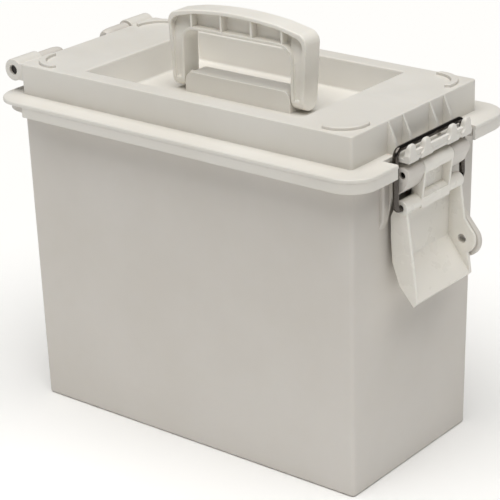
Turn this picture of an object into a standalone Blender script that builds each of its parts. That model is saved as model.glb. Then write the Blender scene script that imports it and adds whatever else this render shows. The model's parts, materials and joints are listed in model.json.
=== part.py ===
"""Lidded utility box: a deep tub, a hinged lid with a fold-down handle, and an over-centre latch.

Frame: origin at the centre of the tub's underside, +Z up, +X towards the latch, Y across the box.
Sizes are in millimetres in the constants and are turned into metres by the helpers.
"""
import math

import bmesh
import bpy
from mathutils import Matrix, Vector

MM = 0.001
FAR_X = 220.0                        # cutters reach this far, well outside the box
FAR_Y = 120.0

# Tub
TUB_BOTTOM = (332.5, 164.7)          # outer length and width at the floor
TUB_TOP = (337.7, 172.5)             # outer length and width under the rim
TUB_TOP_Z = 272.5                    # top of the wall, where the gasket seats
WALL = 3.0
FLOOR = 3.5
CORNER_R = 4.0
RIM_OUT_Y = 104.2                    # rim flange, just inside the lid's skirt
RIM_END_X = 178.0                    # rim flange at the hinge end
RIM_LATCH_X = 186.8
RIM_Z = (269.5, 275.0)
RIM_LOW_Z = 273.6                    # rim height at the hinge end, under the swinging lid edge
RIM_LOW_X = -164.0
GASKET_SEAT = (338.6, 173.4)         # pocket round the top of the wall, length and width
GASKET_SEAT_R = 4.5
RIM_R = 22.5

# Lid
LID_HALF_Y = 107.9
LID_LATCH_X = 190.5
LID_HINGE_X = -185.5
LID_R = 25.0
PLATE_Z = (275.8, 279.0)
SKIRT_LOW_Z = 267.0
SKIRT_T = 3.0
SKIRT_END_X = -150.0                 # the skirt stops before the hinge end
PLATEAU = (337.7, 172.5)
PLATEAU_TOP_Z = 305.0
WELL_TOP = (220.0, 142.0)
WELL_FLOOR = (203.0, 132.0)
WELL_FLOOR_Z = 281.0
LIP = (328.4, 163.2)                 # locating lip, outer size
LIP_T = 2.4
LIP_LOW_Z = 269.0
LID_HOLLOW = (331.7, 166.5)          # hollow under the raised part
LID_HOLLOW_Z = (278.8, 302.0)
WELL_WALL_LOW = (209.0, 138.0)       # outside of the well's walls, at the floor and at the top
WELL_WALL_HIGH = (225.6, 148.0)
WELL_UNDER_Z = 278.0                 # underside of the well's floor
FLOOR_PAN_HALF = (104.5, 69.0)
RIDGE_CENTRE = (142.4, 60.2)         # stacking ridges, arcs towards each corner
RIDGE_R = 22.0
RIDGE_WIDTH = 4.2
RIDGE_H = 2.6

# Handle
PIVOT_Z = 293.5
LEG_IN_X = 55.0
LEG_FOOT_X = 68.0
LEG_TOP_X = 71.0
HANDLE_HALF_Y = 10.0
HANDLE_TOP_Z = 355.3
HANDLE_CROWN_R = 331.0
HANDLE_CORNER_R = 9.5
HANDLE_SHOULDER_DROP = 6.6           # the shoulders stand this far below the crown
HANDLE_OPEN_Z = 335.0
HANDLE_OPEN_R = 11.0
STUB_R = 3.6
HANDLE_RIM = 3.4                     # rims round the grip's recess, outer and inner
HANDLE_INNER_RIM = 2.6
HANDLE_RIBS_X = (-46.5, -15.5, 15.5, 46.5)
CHANNEL_DEPTH = 2.0
BLOCK_HALF_X = 54.4
BLOCK_HALF_Y = 9.8
BLOCK_TOP_Z = 298.8
BLOCK_R = 8.5
BLOCK_WALL = 3.0
BLOCK_HOLLOW_HALF = (46.0, 6.8)
SOCKET_X = (45.5, 54.9)              # blind sockets in the block's ends for the handle's stubs

# Hinge
HINGE_X = -178.6
HINGE_Z = 298.0
LID_KNUCKLE_R = 9.4
TUB_KNUCKLE_R = 7.4
PIN_R = 4.0
PIN_GAP = 0.3
HINGE_POST_HALF_X = 6.4
HINGE_SLOT_X = -171.4                # the lid's plate is slotted round each post
LID_KNUCKLE_Y = (57.4, 86.0)
TUB_KNUCKLE_Y = (28.0, 57.0)

# Latch
LATCH_X = 184.5                      # lever pivot A
LATCH_Z = 265.0
BAIL_X = 181.5                       # lower pivot B, on the lever
BAIL_Z = 237.0
BAR_X = 181.0                        # top bar of the bail
BAR_Z = 285.5
WIRE_R = 2.4
BAIL_HALF_Y = 46.8
BARREL_A_R = 6.5
BARREL_B_R = 6.0
LUG_Y = (20.6, 43.0)
KNUCKLE_HALF_Y = 20.2
LATCH_BORE_R = 2.9
LATCH_PIN_R = 2.5
NOTCH_Y = (-56.5, 52.0)
BAIL_SLOT_Y = 43.9
NOTCH_X = 176.2
FLANGE_HALF_Y = 39.5
PADLOCK = (188.5, 188.5)             # centre of the padlock holes, x and z
PADLOCK_R = 3.8

# Keeper on the lid, outlines in the XZ plane
KEEPER_Y = (-38.5, -18.5, 18.5, 38.5)
FINGER_HALF = 4.8
BUTTRESS_HALF = 1.1
LIP_BAR_HALF_Y = 43.3
BUTTRESS = [(168.0, 304.4), (168.0, 278.0), (178.0, 278.0), (178.0, 284.6), (169.1, 304.4)]
FINGER = [(186.9, 277.0), (191.0, 275.4), (191.9, 278.4), (191.9, 287.0), (191.3, 289.6),
          (189.9, 290.4), (188.7, 289.8), (188.2, 288.2), (186.9, 283.5)]
LIP_BAR = [(186.9, 277.0), (189.9, 277.0), (190.4, 283.0), (187.7, 283.4), (186.9, 282.4)]

# Latch mounting on the tub's end wall, outlines in the XZ plane
LUG = [(165.5, 269.6), (165.5, 239.0), (172.0, 243.0), (178.0, 246.6), (186.4, 253.6),
       (189.6, 261.0), (LATCH_X, LATCH_Z), (LATCH_X - 2.0, LATCH_Z + 4.6)]
GUSSET = [(165.5, 269.8), (165.5, 221.0), (169.5, 223.0), (176.0, 250.0), (181.0, 268.0)]
GUSSET_T = 3.0
PILASTER = [(165.5, 269.8), (165.5, 218.0), (168.6, 219.6), (171.4, 226.0), (172.4, 240.0),
            (172.4, 269.8)]
PILASTER_Y = (41.5, 50.0)
TUB_EAR = [(165.5, 170.0), (190.0, 172.0), (198.5, 179.0), (203.0, 188.0), (202.5, 194.0),
           (198.0, 202.5), (186.0, 212.0), (165.5, 222.0)]
TUB_EAR_Y = (40.0, 45.4)

# Latch lever, outlines in the XZ plane
LEVER_BACK = [(179.2, 265.0), (178.4, 259.0), (177.6, 237.0), (181.0, 237.0), (181.8, 259.0)]
LEVER_WEB = [(178.6, 262.0), (178.0, 237.0), (187.2, 237.0), (190.6, 264.0)]
LEVER_WEB_T = 2.6
LEVER_FLANGE = [(177.5, 241.0), (171.6, 228.0), (171.9, 210.0), (173.4, 190.0), (180.0, 172.2),
                (193.2, 156.8), (196.8, 160.6), (186.6, 232.0), (187.2, 239.0)]
LEVER_FLANGE_T = 2.8
LEVER_LEDGE = [(178.0, 240.0), (178.0, 231.5), (187.2, 231.5), (187.4, 240.0)]
LEVER_PANEL = [(177.0, 240.0), (172.6, 228.0), (173.1, 212.0), (172.8, 189.0), (193.0, 157.2),
               (196.6, 160.7), (175.4, 189.6), (176.2, 231.9), (184.0, 231.9)]
LEVER_EAR = [(178.0, 176.0), (192.0, 178.0), (199.0, 183.6), (201.0, 189.5), (199.4, 195.5),
             (190.2, 206.6), (180.0, 206.6)]

# Wire bail
BAIL_TOP_BEND = 6.2
BAIL_LOW_BEND = 4.6
BAIL_END_Y = 27.0
BAIL_BORE_Y = 24.0

# Gasket, outer and inner length and width
GASKET_OUT = (337.5, 172.3)
GASKET_IN = (329.4, 164.2)
GASKET_Z = (272.8, 275.5)
GASKET_R = 4.0
GASKET_IN_R = 3.4


def clear_scene():
    for old in list(bpy.data.objects):
        bpy.data.objects.remove(old, do_unlink=True)


def make_collection(name):
    group = bpy.data.collections.new(name)
    bpy.context.scene.collection.children.link(group)
    return group


def make_material(name, colour, roughness, metallic=0.0):
    material = bpy.data.materials.new(name)
    material.use_nodes = True
    shader = material.node_tree.nodes["Principled BSDF"]
    shader.inputs["Base Color"].default_value = (*colour, 1.0)
    shader.inputs["Roughness"].default_value = roughness
    shader.inputs["Metallic"].default_value = metallic
    return material


def new_object(name, mesh, group):
    """Put a mesh in the scene under one collection."""
    solid = bpy.data.objects.new(name, mesh)
    group.objects.link(solid)
    return solid


def from_bmesh(name, shape, group):
    bmesh.ops.recalc_face_normals(shape, faces=shape.faces)
    mesh = bpy.data.meshes.new(name)
    shape.to_mesh(mesh)
    shape.free()
    return new_object(name, mesh, group)


def mark_cutter(cutter):
    cutter.hide_render = True
    cutter.display_type = "WIRE"


def combine(target, tool, operation):
    """Add one exact Boolean of a hidden tool solid to a part."""
    modifier = target.modifiers.new(operation.title(), "BOOLEAN")
    modifier.operation = operation
    modifier.solver = "EXACT"
    modifier.object = tool
    mark_cutter(tool)


def cut(target, *tools):
    for tool in tools:
        combine(target, tool, "DIFFERENCE")


def join(target, *tools):
    for tool in tools:
        combine(target, tool, "UNION")


def block(name, group, x, y, z):
    """A box between two limits on each axis, in millimetres."""
    shape = bmesh.new()
    bmesh.ops.create_cube(shape, size=1.0)
    size = Vector((x[1] - x[0], y[1] - y[0], z[1] - z[0]))
    centre = Vector((x[0] + x[1], y[0] + y[1], z[0] + z[1])) / 2
    bmesh.ops.scale(shape, vec=size * MM, verts=shape.verts)
    bmesh.ops.translate(shape, vec=centre * MM, verts=shape.verts)
    return from_bmesh(name, shape, group)


def drafted_box(name, group, low, high, z, radius=0.0, segments=3):
    """A box whose floor and top differ in size, with rounded upright corners."""
    shape = bmesh.new()
    bmesh.ops.create_cube(shape, size=2.0)
    for vert in shape.verts:
        half = high if vert.co.z > 0 else low
        level = z[1] if vert.co.z > 0 else z[0]
        vert.co.x = math.copysign(half[0] / 2, vert.co.x) * MM
        vert.co.y = math.copysign(half[1] / 2, vert.co.y) * MM
        vert.co.z = level * MM
    if radius:
        upright = [e for e in shape.edges if abs(e.verts[0].co.z - e.verts[1].co.z) > 1e-6]
        bmesh.ops.bevel(shape, geom=upright, offset=radius * MM, segments=segments,
                        affect="EDGES", profile=0.5)
    return from_bmesh(name, shape, group)


def rod(name, group, centre, radius, y, sides=20):
    """A round bar along Y about a point given by its x and z."""
    shape = bmesh.new()
    bmesh.ops.create_cone(shape, cap_ends=True, segments=sides, radius1=radius * MM,
                          radius2=radius * MM, depth=(y[1] - y[0]) * MM,
                          matrix=Matrix.Rotation(math.radians(90), 4, "X"))
    offset = Vector((centre[0], (y[0] + y[1]) / 2, centre[1])) * MM
    bmesh.ops.translate(shape, vec=offset, verts=shape.verts)
    return from_bmesh(name, shape, group)


def rod_x(name, group, centre, radius, x, sides=20):
    """A round bar along X about a point given by its y and z."""
    shape = bmesh.new()
    bmesh.ops.create_cone(shape, cap_ends=True, segments=sides, radius1=radius * MM,
                          radius2=radius * MM, depth=(x[1] - x[0]) * MM,
                          matrix=Matrix.Rotation(math.radians(90), 4, "Y"))
    offset = Vector(((x[0] + x[1]) / 2, centre[0], centre[1])) * MM
    bmesh.ops.translate(shape, vec=offset, verts=shape.verts)
    return from_bmesh(name, shape, group)


def side_plate(name, group, outline, y):
    """A flat plate whose outline lies in the XZ plane, between two y values."""
    shape = bmesh.new()
    ring = [shape.verts.new(Vector((px, y[0], pz)) * MM) for px, pz in outline]
    face = shape.faces.new(ring)
    grown = bmesh.ops.extrude_face_region(shape, geom=[face])
    moved = [item for item in grown["geom"] if isinstance(item, bmesh.types.BMVert)]
    bmesh.ops.translate(shape, vec=Vector((0, (y[1] - y[0]) * MM, 0)), verts=moved)
    return from_bmesh(name, shape, group)


def top_plate(name, group, outline, z):
    """A flat plate whose outline lies in the XY plane, between two z values."""
    shape = bmesh.new()
    ring = [shape.verts.new(Vector((px, py, z[0])) * MM) for px, py in outline]
    face = shape.faces.new(ring)
    grown = bmesh.ops.extrude_face_region(shape, geom=[face])
    moved = [item for item in grown["geom"] if isinstance(item, bmesh.types.BMVert)]
    bmesh.ops.translate(shape, vec=Vector((0, 0, (z[1] - z[0]) * MM)), verts=moved)
    return from_bmesh(name, shape, group)


def arc(centre, radius, start, end, steps):
    """Points on an arc, with the angles in degrees."""
    points = []
    for step in range(steps + 1):
        angle = math.radians(start + (end - start) * step / steps)
        points.append((centre[0] + radius * math.cos(angle), centre[1] + radius * math.sin(angle)))
    return points


def rounded_rectangle(x, y, radius, steps=5):
    """Outline with the same radius on each corner, counter-clockwise."""
    points = []
    points += arc((x[1] - radius, y[1] - radius), radius, 0, 90, steps)
    points += arc((x[0] + radius, y[1] - radius), radius, 90, 180, steps)
    points += arc((x[0] + radius, y[0] + radius), radius, 180, 270, steps)
    points += arc((x[1] - radius, y[0] + radius), radius, 270, 360, steps)
    return points


def mirrored(pair, side):
    """A y interval on the +Y or the -Y side."""
    return (pair[0], pair[1]) if side > 0 else (-pair[1], -pair[0])


def finish(part, material):
    part.data.materials.clear()
    part.data.materials.append(material)
    part.data.shade_smooth()
    part.data.set_sharp_from_angle(angle=math.radians(35))


def set_origin(part, x, y, z):
    """Move an object's origin to a point on its joint axis, leaving its shape where it is."""
    point = Vector((x, y, z)) * MM
    part.data.transform(Matrix.Translation(-point))
    part.location = point


def build_tub(parts, tools, plastic):
    """Deep drafted tub with a rim flange, hinge posts, latch lugs and a padlock ear."""
    tub = drafted_box("tub", parts, TUB_BOTTOM, TUB_TOP, (0.0, TUB_TOP_Z), CORNER_R)
    rim = top_plate("rim_solid", tools, rounded_rectangle(
        (-RIM_END_X, RIM_LATCH_X), (-RIM_OUT_Y, RIM_OUT_Y), RIM_R), RIM_Z)
    low_end = block("low_rim_end", tools, (-FAR_X, RIM_LOW_X), (-FAR_Y, FAR_Y),
                    (RIM_LOW_Z, RIM_LOW_Z + 3.0))
    notch = block("rim_notch", tools, (TUB_TOP[0] / 2 - 0.5, FAR_X), NOTCH_Y,
                  (RIM_Z[0] - 2.0, RIM_Z[1] + 2.0))
    cut(rim, low_end, notch)
    join(tub, rim)
    post_x = (HINGE_X - HINGE_POST_HALF_X, HINGE_X + HINGE_POST_HALF_X)
    for side in (-1, 1):
        near = "near" if side < 0 else "far"
        span = mirrored(TUB_KNUCKLE_Y, side)
        post = block(f"hinge_post_{near}", tools, post_x, span, (RIM_Z[0], HINGE_Z))
        knuckle = rod(f"hinge_knuckle_{near}", tools, (HINGE_X, HINGE_Z), TUB_KNUCKLE_R, span)
        span = mirrored(LUG_Y, side)
        lug = side_plate(f"lug_{near}", tools, LUG, span)
        barrel = rod(f"lug_barrel_{near}", tools, (LATCH_X, LATCH_Z), BARREL_A_R, span)
        gusset = side_plate(f"lug_gusset_{near}", tools, GUSSET,
                            mirrored((LUG_Y[1] - GUSSET_T, LUG_Y[1] - 0.02), side))
        pilaster = side_plate(f"pilaster_{near}", tools, PILASTER, mirrored(PILASTER_Y, side))
        join(tub, post, knuckle, lug, barrel, gusset, pilaster)
    join(tub, side_plate("padlock_ear_tub", tools, TUB_EAR, TUB_EAR_Y))
    inner_low = (TUB_BOTTOM[0] - 2 * WALL, TUB_BOTTOM[1] - 2 * WALL)
    inner_high = (TUB_TOP[0] - 2 * WALL, TUB_TOP[1] - 2 * WALL)
    inside = drafted_box("tub_inside", tools, inner_low, inner_high, (FLOOR, TUB_TOP_Z + 6.0), 3.0)
    seat = drafted_box("gasket_seat", tools, GASKET_SEAT, GASKET_SEAT,
                       (TUB_TOP_Z, TUB_TOP_Z + 6.0), GASKET_SEAT_R)
    cut(tub, inside, seat)
    for side in (-1, 1):
        near = "near" if side < 0 else "far"
        cut(tub, rod(f"hinge_bore_{near}", tools, (HINGE_X, HINGE_Z), PIN_R + PIN_GAP,
                     mirrored((TUB_KNUCKLE_Y[0] + 2.0, TUB_KNUCKLE_Y[1] + 5.0), side)))
    cut(tub, rod("latch_bore", tools, (LATCH_X, LATCH_Z), LATCH_BORE_R,
                 (-LUG_Y[1] - 5.0, LUG_Y[1] + 5.0), 16))
    cut(tub, rod("padlock_hole_tub", tools, PADLOCK, PADLOCK_R, (39.0, 47.0), 16))
    finish(tub, plastic)
    return tub


def build_lid(parts, tools, plastic):
    """Raised lid with a handle well, pivot block, skirt, keeper and hinge knuckles."""
    lid = top_plate("lid", parts, rounded_rectangle(
        (LID_HINGE_X, LID_LATCH_X), (-LID_HALF_Y, LID_HALF_Y), LID_R), PLATE_Z)
    skirt = top_plate("skirt_solid", tools, rounded_rectangle(
        (LID_HINGE_X, LID_LATCH_X), (-LID_HALF_Y, LID_HALF_Y), LID_R),
        (SKIRT_LOW_Z, PLATE_Z[0] + 1.0))
    inner = top_plate("skirt_inside", tools, rounded_rectangle(
        (LID_HINGE_X - 20.0, LID_LATCH_X - SKIRT_T), (-LID_HALF_Y + SKIRT_T, LID_HALF_Y - SKIRT_T),
        LID_R - SKIRT_T), (SKIRT_LOW_Z - 1.0, PLATE_Z[0] + 2.0))
    hinge_end = block("skirt_end", tools, (-FAR_X, SKIRT_END_X), (-FAR_Y, FAR_Y),
                      (SKIRT_LOW_Z - 1.0, PLATE_Z[0] + 2.0))
    gap = block("skirt_notch", tools, (NOTCH_X, FAR_X), NOTCH_Y,
                (SKIRT_LOW_Z - 1.0, PLATE_Z[0] + 2.0))
    cut(skirt, inner, hinge_end, gap)
    join(lid, skirt)
    raised = drafted_box("plateau", tools, PLATEAU, PLATEAU, (PLATE_Z[0], PLATEAU_TOP_Z), 2.0, 2)
    join(lid, raised)
    for side in (-1, 1):
        near = "near" if side < 0 else "far"
        for end in (-1, 1):
            ridge = top_plate(f"ridge_{near}_{'latch' if end > 0 else 'hinge'}", tools,
                              stacking_ridge(end, side), (PLATEAU_TOP_Z - 1.0, PLATEAU_TOP_Z + RIDGE_H))
            join(lid, ridge)
        span = mirrored(LID_KNUCKLE_Y, side)
        barrel = rod(f"lid_knuckle_{near}", tools, (HINGE_X, HINGE_Z), LID_KNUCKLE_R, span)
        bridge = block(f"lid_bridge_{near}", tools, (HINGE_X, -PLATEAU[0] / 2 + 1.0), span,
                       (HINGE_Z - 8.0, PLATEAU_TOP_Z - 0.6))
        join(lid, barrel, bridge)
    for number, centre in enumerate(KEEPER_Y, start=1):
        rib = side_plate(f"buttress_{number}", tools, BUTTRESS,
                         (centre - BUTTRESS_HALF, centre + BUTTRESS_HALF))
        finger = side_plate(f"keeper_finger_{number}", tools, FINGER,
                            (centre - FINGER_HALF, centre + FINGER_HALF))
        join(lid, rib, finger)
    join(lid, side_plate("keeper_lip", tools, LIP_BAR, (-LIP_BAR_HALF_Y, LIP_BAR_HALF_Y)))
    hollow = drafted_box("lid_hollow", tools, LID_HOLLOW, LID_HOLLOW, LID_HOLLOW_Z)
    well_wall = drafted_box("well_wall", tools, WELL_WALL_LOW, WELL_WALL_HIGH,
                            (WELL_UNDER_Z, LID_HOLLOW_Z[1] + 1.0))
    cut(hollow, well_wall)
    mouth_size = (LIP[0] - 2 * LIP_T, LIP[1] - 2 * LIP_T)
    mouth = drafted_box("lid_mouth", tools, mouth_size, mouth_size, (PLATE_Z[0] - 12.0, PLATE_Z[1]))
    pan_x, pan_y = FLOOR_PAN_HALF
    floor_pan = block("floor_pan", tools, (-pan_x, pan_x), (-pan_y, pan_y),
                      (WELL_UNDER_Z, WELL_FLOOR_Z))
    lip_solid = drafted_box("lip_solid", tools, LIP, LIP, (LIP_LOW_Z, PLATE_Z[0] + 1.0), 3.0, 2)
    join(lid, lip_solid)
    cut(mouth, floor_pan)
    cut(lid, hollow, mouth)
    well = drafted_box("handle_well", tools, WELL_FLOOR, (WELL_TOP[0] + 0.4, WELL_TOP[1] + 0.3),
                       (WELL_FLOOR_Z, PLATEAU_TOP_Z + 1.0))
    cut(well, pivot_block(tools))
    cut(lid, well)
    under_x, under_y = BLOCK_HOLLOW_HALF
    cut(lid, block("block_hollow", tools, (-under_x, under_x), (-under_y, under_y),
                   (WELL_UNDER_Z - 1.0, BLOCK_TOP_Z - BLOCK_WALL)))
    for side in (-1, 1):
        near = "near" if side < 0 else "far"
        slot_y = (BAIL_SLOT_Y, NOTCH_Y[1]) if side > 0 else (NOTCH_Y[0], -BAIL_SLOT_Y)
        slot = block(f"bail_slot_{near}", tools, (NOTCH_X, FAR_X), slot_y,
                     (SKIRT_LOW_Z - 1.0, 292.0))
        post_slot = block(f"hinge_slot_{near}", tools, (-FAR_X, HINGE_SLOT_X),
                          mirrored((TUB_KNUCKLE_Y[0] - 0.8, TUB_KNUCKLE_Y[1] + 0.39), side),
                          (270.0, 285.0))
        bore = rod(f"lid_bore_{near}", tools, (HINGE_X, HINGE_Z), PIN_R + PIN_GAP,
                   mirrored((LID_KNUCKLE_Y[0] - 5.0, LID_KNUCKLE_Y[1] + 5.0), side))
        socket = rod_x(f"handle_socket_{near}", tools, (0.0, PIVOT_Z), STUB_R + 0.4,
                       mirrored(SOCKET_X, side), 16)
        cut(lid, slot, post_slot, bore, socket)
    set_origin(lid, HINGE_X, 0.0, HINGE_Z)
    finish(lid, plastic)
    return lid


def stacking_ridge(end, side):
    """Curved raised bar that bulges towards one corner of the lid."""
    inner_centre = (RIDGE_CENTRE[0] - RIDGE_WIDTH, RIDGE_CENTRE[1] - RIDGE_WIDTH)
    outer = arc(RIDGE_CENTRE, RIDGE_R, -13, 100, 8)
    inner = arc(inner_centre, RIDGE_R, 95, -8, 8)
    return [(end * px, side * py) for px, py in outer + inner]


def pivot_block(tools):
    """Raised block on the floor of the well, between the feet of the handle."""
    radius = BLOCK_R
    outline = [(-BLOCK_HALF_X, WELL_FLOOR_Z - 4.0), (BLOCK_HALF_X, WELL_FLOOR_Z - 4.0)]
    outline += arc((BLOCK_HALF_X - radius, BLOCK_TOP_Z - radius), radius, 0, 90, 4)
    outline += arc((-BLOCK_HALF_X + radius, BLOCK_TOP_Z - radius), radius, 90, 180, 4)
    return side_plate("pivot_block", tools, outline, (-BLOCK_HALF_Y, BLOCK_HALF_Y))


def build_gasket(parts, tools, rubber):
    """Flat sealing ring between the tub's wall and the lid."""
    gasket = drafted_box("lid_gasket", parts, GASKET_OUT, GASKET_OUT, GASKET_Z, GASKET_R)
    middle = drafted_box("gasket_middle", tools, GASKET_IN, GASKET_IN,
                         (GASKET_Z[0] - 2.0, GASKET_Z[1] + 2.0), GASKET_IN_R)
    cut(gasket, middle)
    finish(gasket, rubber)
    return gasket


def handle_outline(inset=0.0, low=PIVOT_Z):
    """Outline of the grip in the XZ plane; inset moves it inwards from the outer edge."""
    corner = HANDLE_CORNER_R
    foot = LEG_FOOT_X - inset
    top = LEG_TOP_X - inset
    shoulder_z = HANDLE_TOP_Z - HANDLE_SHOULDER_DROP - inset
    points = [(foot, low)]
    points += arc((top - corner, shoulder_z - corner), corner, 0, 78, 5)
    crown_z = HANDLE_TOP_Z - inset
    for x in (40.0, 20.0, 0.0, -20.0, -40.0):
        points.append((x, crown_z - HANDLE_CROWN_R + math.sqrt(HANDLE_CROWN_R ** 2 - x * x)))
    points += arc((-top + corner, shoulder_z - corner), corner, 102, 180, 5)
    points.append((-foot, low))
    return points


def build_handle(parts, tools, plastic):
    """Arched grip of I section with stiffening ribs, round feet and pivot stubs."""
    handle = side_plate("handle", parts, handle_outline(), (-HANDLE_HALF_Y, HANDLE_HALF_Y))
    centre_x = LEG_IN_X - HANDLE_OPEN_R
    centre_z = HANDLE_OPEN_Z - HANDLE_OPEN_R
    opening = [(LEG_IN_X, PIVOT_Z - 20.0)]
    opening += arc((centre_x, centre_z), HANDLE_OPEN_R, 0, 90, 4)
    opening += arc((-centre_x, centre_z), HANDLE_OPEN_R, 90, 180, 4)
    opening.append((-LEG_IN_X, PIVOT_Z - 20.0))
    cut(handle, side_plate("hand_opening", tools, opening, (-20.0, 20.0)))
    for side in (-1, 1):
        end = "left" if side < 0 else "right"
        low, high = mirrored((LEG_IN_X, LEG_FOOT_X), side)
        foot = rod_x(f"foot_{end}", tools, (0.0, PIVOT_Z), HANDLE_HALF_Y, (low, high), 24)
        low, high = mirrored((46.5, LEG_IN_X + 1.0), side)
        stub = rod_x(f"stub_{end}", tools, (0.0, PIVOT_Z), STUB_R, (low, high), 16)
        join(handle, foot, stub)
    for face in (-1, 1):
        cut(handle, pocket_solid(tools, face))
        for side in (-1, 1):
            cut(handle, leg_channel(tools, face, side))
    set_origin(handle, 0.0, 0.0, PIVOT_Z)
    finish(handle, plastic)
    return handle


def pocket_solid(tools, face):
    """The recess between the crown's ribs, in one face of the grip."""
    low = HANDLE_OPEN_Z - 12.0
    outline = handle_outline(HANDLE_RIM, low)
    centre_x = LEG_IN_X - HANDLE_OPEN_R
    centre_z = HANDLE_OPEN_Z - HANDLE_OPEN_R
    radius = HANDLE_OPEN_R + HANDLE_INNER_RIM
    inside = [(-LEG_IN_X - HANDLE_INNER_RIM, low)]
    inside += arc((-centre_x, centre_z), radius, 180, 90, 4)
    inside += arc((centre_x, centre_z), radius, 90, 0, 4)
    inside.append((LEG_IN_X + HANDLE_INNER_RIM, low))
    pocket = side_plate(f"grip_pocket_{'back' if face > 0 else 'front'}", tools, outline + inside,
                        mirrored((2.0, HANDLE_HALF_Y + 1.0), face))
    for number, centre in enumerate(HANDLE_RIBS_X, start=1):
        cut(pocket, block(f"{pocket.name}_rib_{number}", tools, (centre - 1.0, centre + 1.0),
                          mirrored((1.0, HANDLE_HALF_Y - 0.8), face), (HANDLE_OPEN_Z - 4.0, 358.0)))
    return pocket


def leg_channel(tools, face, side):
    """Shallow channel down one leg, in one face of the grip."""
    inner = LEG_IN_X + HANDLE_INNER_RIM + 0.6
    outer = LEG_FOOT_X - HANDLE_RIM - 0.4
    low = PIVOT_Z - 7.0
    top = HANDLE_OPEN_Z - HANDLE_OPEN_R
    outline = [(side * inner, low + 3.0), (side * (inner + 3.0), low), (side * (outer - 3.0), low),
               (side * outer, low + 3.0), (side * (outer + 1.0), top), (side * inner, top)]
    return side_plate(f"leg_channel_{face}_{side}", tools, outline,
                      mirrored((HANDLE_HALF_Y - CHANNEL_DEPTH, HANDLE_HALF_Y + 2.0), face))


def build_lever(parts, tools, plastic):
    """Latch lever: pivot knuckle, two webs, lower barrel, side flanges and a finger scoop."""
    lever = rod("latch_lever", parts, (LATCH_X, LATCH_Z), BARREL_A_R,
                (-KNUCKLE_HALF_Y, KNUCKLE_HALF_Y))
    lower = rod("lower_barrel", tools, (BAIL_X, BAIL_Z), BARREL_B_R,
                (-FLANGE_HALF_Y - 1.0, FLANGE_HALF_Y + 1.0))
    back = side_plate("lever_back", tools, LEVER_BACK,
                      (-KNUCKLE_HALF_Y + 0.2, KNUCKLE_HALF_Y - 0.2))
    join(lever, lower, back)
    for side in (-1, 1):
        near = "near" if side < 0 else "far"
        web = side_plate(f"lever_web_{near}", tools, LEVER_WEB,
                         mirrored((KNUCKLE_HALF_Y - LEVER_WEB_T, KNUCKLE_HALF_Y - 0.05), side))
        flange = side_plate(f"lever_flange_{near}", tools, LEVER_FLANGE,
                            mirrored((FLANGE_HALF_Y - LEVER_FLANGE_T, FLANGE_HALF_Y), side))
        join(lever, web, flange)
    ledge = side_plate("lever_ledge", tools, LEVER_LEDGE,
                       (-KNUCKLE_HALF_Y + 0.3, KNUCKLE_HALF_Y - 0.3))
    panel = side_plate("lever_panel", tools, LEVER_PANEL,
                       (-FLANGE_HALF_Y + 1.0, FLANGE_HALF_Y - 1.0))
    ear = side_plate("padlock_ear_lever", tools, LEVER_EAR,
                     (FLANGE_HALF_Y - LEVER_FLANGE_T + 0.1, FLANGE_HALF_Y - 0.1))
    join(lever, ledge, panel, ear)
    pin_bore = rod("lever_bore", tools, (LATCH_X, LATCH_Z), LATCH_BORE_R,
                   (-KNUCKLE_HALF_Y - 5.0, KNUCKLE_HALF_Y + 5.0), 16)
    padlock = rod("padlock_hole_lever", tools, PADLOCK, PADLOCK_R, (34.0, 42.0), 16)
    cut(lever, pin_bore, padlock)
    for side in (-1, 1):
        near = "near" if side < 0 else "far"
        cut(lever, rod(f"bail_bore_{near}", tools, (BAIL_X, BAIL_Z), WIRE_R + 0.4,
                       mirrored((BAIL_BORE_Y, FLANGE_HALF_Y + 5.0), side), 16))
    set_origin(lever, LATCH_X, 0.0, LATCH_Z)
    finish(lever, plastic)
    return lever


def build_bail(parts, steel):
    """Bent wire loop: top bar, two legs, and ends turned in to the lower barrel."""
    bend = BAIL_TOP_BEND
    low_bend = BAIL_LOW_BEND
    outer = BAIL_HALF_Y
    path = [(-BAIL_END_Y, BAIL_X, BAIL_Z)]
    for step in range(5):
        angle = math.radians(90 * step / 4)
        path.append((-outer + low_bend - low_bend * math.sin(angle), BAIL_X,
                     BAIL_Z + low_bend - low_bend * math.cos(angle)))
    for step in range(6):
        angle = math.radians(90 * step / 5)
        path.append((-outer + bend - bend * math.cos(angle), BAR_X,
                     BAR_Z - bend + bend * math.sin(angle)))
    path += [(-y, x, z) for y, x, z in reversed(path)]
    curve = bpy.data.curves.new("bail_curve", "CURVE")
    curve.dimensions = "3D"
    curve.bevel_depth = WIRE_R * MM
    curve.bevel_resolution = 2
    curve.use_fill_caps = True
    spline = curve.splines.new("POLY")
    spline.points.add(len(path) - 1)
    for point, (y, x, z) in zip(spline.points, path):
        point.co = (x * MM, y * MM, z * MM, 1.0)
    bail = finish_curve(new_object("wire_bail", curve, parts), steel)
    set_origin(bail, BAIL_X, 0.0, BAIL_Z)
    return bail


def finish_curve(wire, material):
    """Turn a capped curve, whose origin is the world's, into one closed mesh object of the same name."""
    bpy.context.view_layer.update()
    view = wire.evaluated_get(bpy.context.evaluated_depsgraph_get())
    mesh = bpy.data.meshes.new_from_object(view)
    shape = bmesh.new()
    shape.from_mesh(mesh)
    bmesh.ops.remove_doubles(shape, verts=shape.verts, dist=0.00001)
    bmesh.ops.recalc_face_normals(shape, faces=shape.faces)
    shape.to_mesh(mesh)
    shape.free()
    name = wire.name
    group = wire.users_collection[0]
    bpy.data.objects.remove(wire, do_unlink=True)
    solid = new_object(name, mesh, group)
    finish(solid, material)
    return solid


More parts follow.
